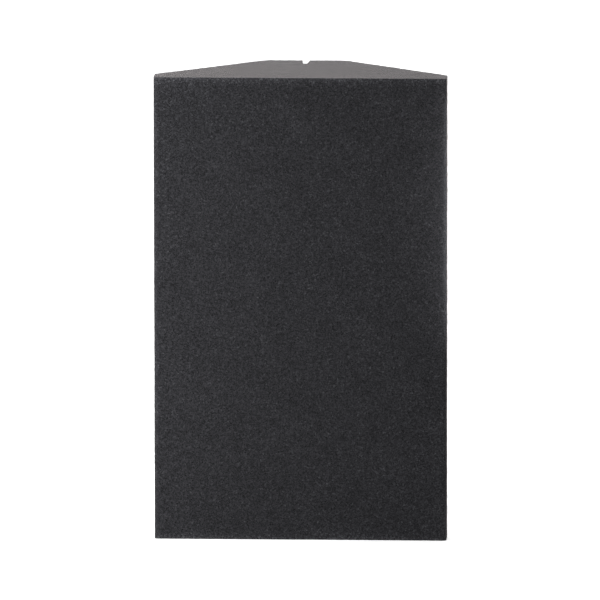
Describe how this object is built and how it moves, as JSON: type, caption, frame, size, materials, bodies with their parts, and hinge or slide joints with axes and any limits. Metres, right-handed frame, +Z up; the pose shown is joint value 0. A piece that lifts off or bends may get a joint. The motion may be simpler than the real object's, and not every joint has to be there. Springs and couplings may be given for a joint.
{
  "type": "corner bass trap",
  "caption": "Upright wedge of dark open-cell acoustic foam that fits a room's corner, with a flat front, slanted wall faces and a tapered groove up its narrow rear face.",
  "frame": {"origin": "on the base, at the centre of its width and depth", "axes": "+Z up along the block's height, the flat front faces -Y, the narrow rear face and its groove face +Y, +X across the front"},
  "size_m": [0.376, 0.17, 0.6],
  "materials": {
    "foam": "matte"
  },
  "bodies": {
    "root": {"foam_block": "foam"}
  },
  "joints": []
}
